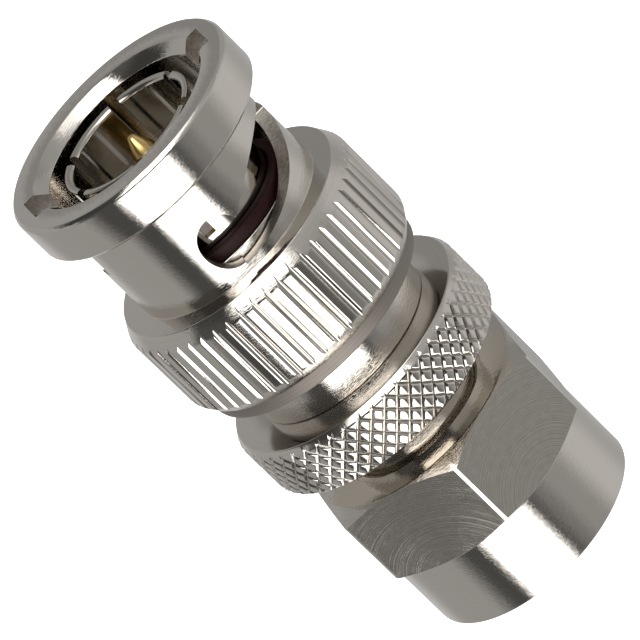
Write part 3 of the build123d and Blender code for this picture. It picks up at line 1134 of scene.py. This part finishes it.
@dataclass
class CouplingNut:
    """The hexagonal nut with its round skirt, milled flats and inner thread."""

    front: float = 9.5
    across_flats: float = 12.7
    corner_radius: float = 7.27
    face_radius: float = 6.3
    cone_angle: float = 30.0
    hex_rear: float = 4.37
    skirt_radius: float = 6.33
    bore_radius: float = 4.55
    web_length: float = 2.6
    undercut_length: float = 0.6
    undercut_radius: float = 5.63
    undercut_taper: float = 0.35
    mouth_radius: float = 5.65
    mouth_length: float = 1.2
    mouth_taper: float = 0.52
    groove_radius: float = 5.05
    groove_rear: float = 7.65
    groove_front: float = 8.25
    turn: float = 25.6
    hex_cutter: tuple[float, float] = (-1.0, 11.0)
    thread_minor: float = 5.13
    thread_depth: float = 0.42
    thread_overlap: float = 0.3
    thread_start: float = 0.9
    thread_half_mouth: float = 0.56
    thread_half_root: float = 0.06
    pitch: float = 0.907
    thread_turns: int = 6
    thread_steps: int = 72
    arc_centre: tuple[float, float] = (-0.6, 3.2)

    def build(self, finishes: Finishes) -> None:
        """Builds and dresses the nut.

        Args:
            finishes: The adapter's finishes.
        """
        slope = math.tan(math.radians(self.cone_angle))
        web = self.front - self.web_length
        undercut_rear = web - self.undercut_length
        cone = (self.corner_radius - self.face_radius) * slope
        rear_cone = (self.corner_radius - self.skirt_radius) * slope
        nut = as_object(
            "coupling_nut_milled",
            turned(
                [
                    Corner(self.mouth_radius, 0, 0.08),
                    Corner(self.skirt_radius, 0, 0.06),
                    Corner(self.skirt_radius, self.hex_rear, 0.03),
                    Corner(self.corner_radius, self.hex_rear + rear_cone, 0.03),
                    Corner(self.corner_radius, self.front - cone, 0.03),
                    Corner(self.face_radius, self.front, 0.05),
                    Corner(self.bore_radius, self.front, 0.08),
                    Corner(self.bore_radius, self.groove_front),
                    Corner(self.groove_radius, self.groove_front),
                    Corner(self.groove_radius, self.groove_rear),
                    Corner(self.bore_radius, self.groove_rear),
                    Corner(self.bore_radius, web),
                    Corner(self.undercut_radius, web),
                    Corner(self.undercut_radius, undercut_rear),
                    Corner(self.thread_minor, undercut_rear - self.undercut_taper),
                    Corner(self.thread_minor, self.mouth_length + self.mouth_taper),
                    Corner(self.mouth_radius, self.mouth_length),
                ]
            ),
        )
        cut(nut, self._hexagon(), CutMode.KEEP)
        cut(nut, self._thread())
        self._mark_flats(nut)
        Piece("coupling_nut_milled", Body.NUT, Slot.NICKEL, "coupling_nut").finish(
            nut, finishes.plain, finishes.milled
        )

    def _hexagon(self) -> BMesh:
        """Makes the hexagonal prism that keeps the nut's flats.

        Returns:
            The prism.
        """
        reach = self.across_flats / 2 / math.cos(math.pi / 6)
        angles = [math.radians(self.turn + 60 * k) for k in range(6)]
        outline = [(reach * math.cos(a), reach * math.sin(a)) for a in angles]
        return prism(outline, *self.hex_cutter)

    def _thread(self) -> BMesh:
        """Sweeps the V groove of the inner thread along its helix.

        Returns:
            The cutter of the thread.
        """
        mesh = bmesh.new()
        inner = self.thread_minor - self.thread_overlap
        outer = self.thread_minor + self.thread_depth
        corners = (
            (inner, self.thread_start - self.thread_half_mouth),
            (outer, self.thread_start - self.thread_half_root),
            (outer, self.thread_start + self.thread_half_root),
            (inner, self.thread_start + self.thread_half_mouth),
        )
        section = [mesh.verts.new((r, 0, z)) for r, z in corners]
        face = mesh.faces.new(section)
        bmesh.ops.spin(
            mesh,
            geom=[face, *face.edges, *section],
            cent=(0, 0, 0),
            axis=UP,
            dvec=UP * (self.pitch / self.thread_steps),
            angle=FULL_TURN * self.thread_turns,
            steps=self.thread_steps * self.thread_turns,
        )
        close_ends(mesh)
        return mesh

    def _mark_flats(self, nut: bpy.types.Object) -> None:
        """Gives the six flats the milled layer and a UV map centred on the cutter's axis.

        Args:
            nut: The nut with its mesh in millimetres.
        """
        near = 0.01
        mesh = bmesh.new()
        mesh.from_mesh(nut.data)
        layer = mesh.loops.layers.uv.new(ARC_MAP)
        for face in mesh.faces:
            face.material_index = Layer.TURNED.value
            level = abs(face.normal.z) < near
            out = face.calc_center_median().dot(face.normal)
            if not level or abs(out - self.across_flats / 2) > near:
                continue
            face.material_index = Layer.MILLED.value
            side = UP.cross(face.normal)
            for loop in face.loops:
                across, height = loop.vert.co.dot(side), loop.vert.co.z
                loop[layer].uv = (across - self.arc_centre[0], height - self.arc_centre[1])
        mesh.to_mesh(nut.data)
        mesh.free()


@dataclass
class OuterContacts:
    """The two slotted outer contacts, the rear one with a narrower tail in the body."""

    radius: float = 4.05
    bore: float = 3.55
    slots: int = 6
    slot_width: float = 0.62
    slot_turn: float = 20.9
    slot_inner: float = 2.0
    slot_outer: float = 6.0
    front_low: float = 21.8
    front_high: float = 31.4
    front_slot_length: float = 5.5
    rear_low: float = 0.7
    rear_slot_length: float = 4.3
    tail_radius: float = 3.7
    tail_bore: float = 3.25
    tail_low: float = 6.1
    tail_high: float = 9.0

    def build(self, finishes: Finishes) -> None:
        """Builds and dresses both contacts.

        Args:
            finishes: The adapter's finishes.
        """
        self._front(finishes)
        self._rear(finishes)

    def _slots(self, low: float, high: float) -> BMesh:
        """Makes the cutters of the slots between the fingers.

        Args:
            low: The height where the slots start.
            high: The height where they end.

        Returns:
            The cutters, all round.
        """
        half = self.slot_width / 2
        slot = block((self.slot_inner, -half, low), (self.slot_outer, half, high))
        return around(turned_by(slot, self.slot_turn), self.slots)

    def _front(self, finishes: Finishes) -> None:
        """Turns the front contact and slots its fingers.

        Args:
            finishes: The adapter's finishes.
        """
        contact = as_object(
            "front_fingers",
            turned(
                [
                    Corner(self.bore, self.front_low, 0.03),
                    Corner(self.radius, self.front_low, 0.03),
                    Corner(self.radius, self.front_high, 0.12),
                    Corner(self.bore, self.front_high, 0.28),
                ]
            ),
        )
        slot_low = self.front_high - self.front_slot_length
        cut(contact, self._slots(slot_low, self.front_high + OVERRUN))
        Piece("front_fingers", Body.CONNECTOR, Slot.CONTACT, "front_outer_contact").finish(
            contact, finishes.contact
        )

    def _rear(self, finishes: Finishes) -> None:
        """Turns the rear contact with its tail and slots its fingers.

        Args:
            finishes: The adapter's finishes.
        """
        contact = as_object(
            "rear_fingers",
            turned(
                [
                    Corner(self.bore, self.rear_low, 0.1),
                    Corner(self.radius, self.rear_low, 0.17),
                    Corner(self.radius, self.tail_low, 0.03),
                    Corner(self.tail_radius, self.tail_low),
                    Corner(self.tail_radius, self.tail_high, 0.03),
                    Corner(self.tail_bore, self.tail_high, 0.03),
                    Corner(self.tail_bore, self.tail_low),
                    Corner(self.bore, self.tail_low),
                ]
            ),
        )
        slot_high = self.rear_low + self.rear_slot_length
        cut(contact, self._slots(self.rear_low - OVERRUN, slot_high))
        Piece("rear_fingers", Body.CONNECTOR, Slot.CONTACT, "rear_outer_contact").finish(
            contact, finishes.contact
        )


@dataclass
class CentrePin:
    """The double-ended gold pin: tips, pins, roots in the discs and the shank between them."""

    tip_radius: float = 0.2
    pin_radius: float = 0.685
    root_radius: float = 0.865
    shank_radius: float = 1.065
    rear_tip: float = 1.2
    rear_cone: float = 1.9
    rear_root: float = 6.4
    rear_shank: float = 9.0
    front_shank: float = 21.8
    front_root: float = 25.6
    front_cone: float = 30.0
    front_tip: float = 31.0

    def build(self, finishes: Finishes) -> None:
        """Builds and dresses the pin.

        Args:
            finishes: The adapter's finishes.
        """
        pin = as_object(
            "gold_pin",
            turned(
                [
                    Corner(0.0, self.rear_tip),
                    Corner(self.tip_radius, self.rear_tip, 0.05),
                    Corner(self.pin_radius, self.rear_cone, 0.06),
                    Corner(self.pin_radius, self.rear_root),
                    Corner(self.root_radius, self.rear_root),
                    Corner(self.root_radius, self.rear_shank),
                    Corner(self.shank_radius, self.rear_shank),
                    Corner(self.shank_radius, self.front_shank),
                    Corner(self.root_radius, self.front_shank),
                    Corner(self.root_radius, self.front_root),
                    Corner(self.pin_radius, self.front_root),
                    Corner(self.pin_radius, self.front_cone, 0.06),
                    Corner(self.tip_radius, self.front_tip, 0.05),
                    Corner(0.0, self.front_tip),
                ],
                PIN_STEPS,
            ),
        )
        Piece("gold_pin", Body.CONNECTOR, Slot.GOLD, "centre_contact").finish(pin, finishes.gold)


@dataclass
class SoftRings:
    """The two red seals and the two white discs round the pin."""

    front_seal: Ring = Ring(4.1, 4.7, 24.65, 25.4, 0.15)
    rear_seal: Ring = Ring(4.1, 4.9, 5.1, 6.1, 0.15)
    front_disc: Ring = Ring(0.895, 3.5, 21.8, 25.6, 0.06)
    rear_disc: Ring = Ring(0.895, 3.2, 6.4, 9.0, 0.06)

    def build(self, finishes: Finishes) -> None:
        """Builds and dresses the rings.

        Args:
            finishes: The adapter's finishes.
        """
        rubber, ptfe = finishes.rubber, finishes.ptfe
        for name, ring, slot, node, material in (
            ("front_seal", self.front_seal, Slot.SEAL, "front_gasket", rubber),
            ("rear_seal", self.rear_seal, Slot.SEAL, "rear_gasket", rubber),
            ("front_disc", self.front_disc, Slot.DIELECTRIC, "front_insulator", ptfe),
            ("rear_disc", self.rear_disc, Slot.DIELECTRIC, "rear_insulator", ptfe),
        ):
            thing = as_object(name, ring.mesh())
            Piece(name, Body.CONNECTOR, slot, node).finish(thing, material)


@dataclass
class WaveSpring:
    """The wave spring behind the body's flange, in its resting waves."""

    outer: float = 6.15
    width: float = 0.6
    thickness: float = 0.28
    rounding: float = 0.03
    seat: float = 21.4
    rest: float = 19.72
    waves: int = 3
    travel: float = 0.8

    def build(self, finishes: Finishes) -> None:
        """Builds and dresses the spring.

        Args:
            finishes: The adapter's finishes.
        """
        inner, middle = self.outer - self.width, (self.seat + self.rest) / 2
        low, high = middle - self.thickness / 2, middle + self.thickness / 2
        mesh = Ring(inner, self.outer, low, high, self.rounding).mesh()
        rise = (self.seat - self.rest - self.thickness) / 2
        for vert in mesh.verts:
            vert.co.z += rise * math.cos(self.waves * math.atan2(vert.co.y, vert.co.x))
        spring = Piece("wave_spring", Body.CONNECTOR, Slot.SPRING, "wave_washer").finish(
            as_object("wave_spring", mesh), finishes.spring
        )
        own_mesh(spring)


# Studio


@dataclass(frozen=True)
class Panel:
    """A light panel or dark flag: its azimuths in degrees, its level and its soft edge."""

    start: float
    end: float
    level: float
    soft: float = 2.0


@dataclass(frozen=True)
class Belt:
    """A belt of panels round the sky, and the heights between which it takes over."""

    low: float
    high: float
    panels: tuple[Panel, ...]


TABLE_PANELS = (
    Panel(0, 200, 0.5, 20),
    Panel(240, 360, 2.5, 20),
)
LOW_PANELS = (
    Panel(0, 60, 0.48, 10),
    Panel(60, 112, 0.66, 14),
    Panel(112, 142, 0.38, 5),
    Panel(142, 156, 0.26, 4),
    Panel(157, 170, 0.13, 3),
    Panel(172, 222, 3.4, 1.5),
    Panel(223, 247, 0.09, 3),
    Panel(253, 322, 0.42, 8),
    Panel(322, 360, 0.58, 10),
)
MIDDLE_PANELS = (
    Panel(0, 24, 0.31, 1),
    Panel(24, 66, 0.42, 8),
    Panel(66, 112, 0.63, 10),
    Panel(112, 160, 0.42, 6),
    Panel(162, 228, 0.04, 2),
    Panel(228, 264, 0.10, 3),
    Panel(266, 344, 0.45, 4),
    Panel(344, 360, 0.42, 1),
)
HIGH_PANELS = (
    Panel(0, 60, 0.32, 10),
    Panel(60, 100, 0.42, 14),
    Panel(100, 156, 0.5, 6),
    Panel(163, 224, 3.4, 5),
    Panel(228, 296, 0.06, 4),
    Panel(304, 360, 0.38, 10),
)
ZENITH_PANELS = (
    Panel(0, 60, 0.35, 10),
    Panel(60, 100, 0.45, 10),
    Panel(104, 140, 1.6, 3),
    Panel(144, 228, 3.4, 4),
    Panel(232, 290, 0.12, 4),
    Panel(298, 360, 0.3, 10),
)
BELTS = (
    Belt(-0.96, -0.93, LOW_PANELS),
    Belt(-0.06, 0.07, MIDDLE_PANELS),
    Belt(0.46, 0.54, HIGH_PANELS),
    Belt(0.80, 0.88, ZENITH_PANELS),
)


@dataclass
class Studio:
    """The camera at the photograph's angle, a pale floor and the panels round the adapter."""

    lens: float = 405.4
    sensor_width: float = 36.0
    clip: tuple[float, float] = (0.01, 20.0)
    camera_place: tuple[float, float, float] = (0.07, -329.9, 167.9)
    camera_right: tuple[float, float, float] = (0.6981, -0.2984, -0.6508)
    camera_back: tuple[float, float, float] = (0.0, -0.9090, 0.4168)
    floor_half_size: float = 4000.0
    floor_height: float = -0.02
    floor_tone: float = 0.8
    brightest: float = 4.0

    def build(self) -> None:
        """Sets the camera, the floor and the surrounding light."""
        self._camera()
        self._floor()
        self._panels()
        bpy.context.scene.view_settings.view_transform = "Standard"

    def _camera(self) -> None:
        """Places the camera, turned so that the adapter's axis runs up to the left."""
        data = bpy.data.cameras.new("camera")
        data.lens = self.lens
        data.sensor_width = self.sensor_width
        data.clip_start, data.clip_end = self.clip
        camera = bpy.data.objects.new("camera", data)
        bpy.context.scene.collection.objects.link(camera)
        right = Vector(self.camera_right).normalized()
        back = Vector(self.camera_back).normalized()
        above = back.cross(right).normalized()
        right = above.cross(back)
        turn = Matrix((right, above, back)).transposed().to_4x4()
        camera.matrix_world = Matrix.Translation(Vector(self.camera_place) * MM) @ turn
        bpy.context.scene.camera = camera

    def _floor(self) -> None:
        """Lays a plain white floor under the nut."""
        mesh = bmesh.new()
        bmesh.ops.create_grid(mesh, x_segments=1, y_segments=1, size=self.floor_half_size)
        bmesh.ops.translate(mesh, vec=UP * self.floor_height, verts=mesh.verts[:])
        bmesh.ops.scale(mesh, vec=(MM, MM, MM), verts=mesh.verts[:])
        floor = as_object("floor", mesh)
        surface = Surface("white_sweep", metallic=0.0)
        tone = self.floor_tone
        surface.inputs["Base Color"].default_value = (tone, tone, tone, 1)
        surface.inputs["Emission Color"].default_value = (1, 1, 1, 1)
        surface.inputs["Emission Strength"].default_value = 1.0
        floor.data.materials.append(surface.material)
        floor.visible_glossy = False
        floor.visible_shadow = False
        floor.visible_diffuse = False
        floor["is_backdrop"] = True

    def _panels(self) -> None:
        """Lights the adapter from panels all round, seen as plain white by the camera itself."""
        world = bpy.data.worlds.new("studio")
        bpy.context.scene.world = world
        world.use_nodes = True
        tree = world.node_tree
        place = add(tree, "ShaderNodeTexCoord", {}).outputs["Generated"]
        parts = add(tree, "ShaderNodeSeparateXYZ", {"Vector": place}).outputs
        sides = {0: parts["X"], 1: parts["Y"]}
        azimuth = add(tree, "ShaderNodeMath", sides, operation="ARCTAN2").outputs["Value"]
        limits = {"From Min": -math.pi, "From Max": math.pi}
        share = add(tree, "ShaderNodeMapRange", {"Value": azimuth, **limits}).outputs["Result"]
        sky = self._ramp(tree, share, TABLE_PANELS)
        for belt in BELTS:
            values = {"Value": parts["Z"], "From Min": belt.low, "From Max": belt.high}
            rise = add(tree, "ShaderNodeMapRange", values).outputs["Result"]
            sky = self._blend(tree, rise, sky, self._ramp(tree, share, belt.panels))
        seen = add(tree, "ShaderNodeLightPath", {}).outputs["Is Camera Ray"]
        white = 1 / self.brightest
        light = self._blend(tree, seen, sky, (white, white, white, 1))
        shade = tree.nodes["Background"]
        tree.links.new(light, shade.inputs["Color"])
        shade.inputs["Strength"].default_value = self.brightest

    def _blend(
        self,
        tree: bpy.types.NodeTree,
        factor: bpy.types.NodeSocket,
        first: bpy.types.NodeSocket,
        second: bpy.types.NodeSocket | tuple[float, float, float, float],
    ) -> bpy.types.NodeSocket:
        """Blends two colours.

        Args:
            tree: The world's node tree.
            factor: The share of the second colour.
            first: The first colour.
            second: The second colour.

        Returns:
            The blended colour.
        """
        values = {"Factor": factor, 6: first, 7: second}
        return add(tree, "ShaderNodeMix", values, data_type="RGBA").outputs[2]

    def _ramp(
        self, tree: bpy.types.NodeTree, share: bpy.types.NodeSocket, panels: tuple[Panel, ...]
    ) -> bpy.types.NodeSocket:
        """Lays light panels out on a colour ramp round the horizon.

        Args:
            tree: The world's node tree.
            share: The azimuth as a share of the full turn.
            panels: The panels in order of azimuth.

        Returns:
            The colour of the ramp.
        """
        ramp = add(tree, "ShaderNodeValToRGB", {"Fac": share})
        stops = []
        for panel in panels:
            for side, shift in ((panel.start, panel.soft), (panel.end, -panel.soft)):
                azimuth = (side + shift + 180.0) % 360.0
                stops.append((azimuth / 360.0, panel.level / self.brightest))
        stops.sort()
        elements = ramp.color_ramp.elements
        elements[0].position, elements[1].position = stops[0][0], stops[-1][0]
        for element, (_, tone) in zip((elements[0], elements[1]), (stops[0], stops[-1])):
            element.color = (tone, tone, tone, 1)
        for spot, tone in stops[1:-1]:
            elements.new(spot).color = (tone, tone, tone, 1)
        return ramp.outputs["Color"]


def dress_nodes(nodes: dict[str, bpy.types.Object], finishes: Finishes) -> None:
    """Gives the nodes that are kept as they are their materials.

    Args:
        nodes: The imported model's nodes by name.
        finishes: The adapter's finishes.
    """
    kept = {
        "middle_insulator": finishes.ptfe,
        "snap_ring": finishes.spring,
        "thrust_washer": finishes.spring,
    }
    for name, material in kept.items():
        node = nodes[name]
        node.data.materials.clear()
        node.data.materials.append(material)
        log.info("%s: kept, dressed in %s", name, material.name)


def corners() -> list[list[float]]:
    """Gives the whole object's box as plain lists."""
    low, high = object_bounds()
    return [list(low), list(high)]


def main() -> None:
    """Builds the adapter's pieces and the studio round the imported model."""
    logging.basicConfig(level=logging.INFO, format="%(name)s: %(message)s")
    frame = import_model()
    finishes = Finishes()
    CouplingSleeve().build(finishes)
    Housing().build(finishes)
    CouplingNut().build(finishes)
    OuterContacts().build(finishes)
    CentrePin().build(finishes)
    SoftRings().build(finishes)
    WaveSpring().build(finishes)
    dress_nodes(frame["nodes"], finishes)
    Studio().build()


if __name__ == "__main__":
    main()
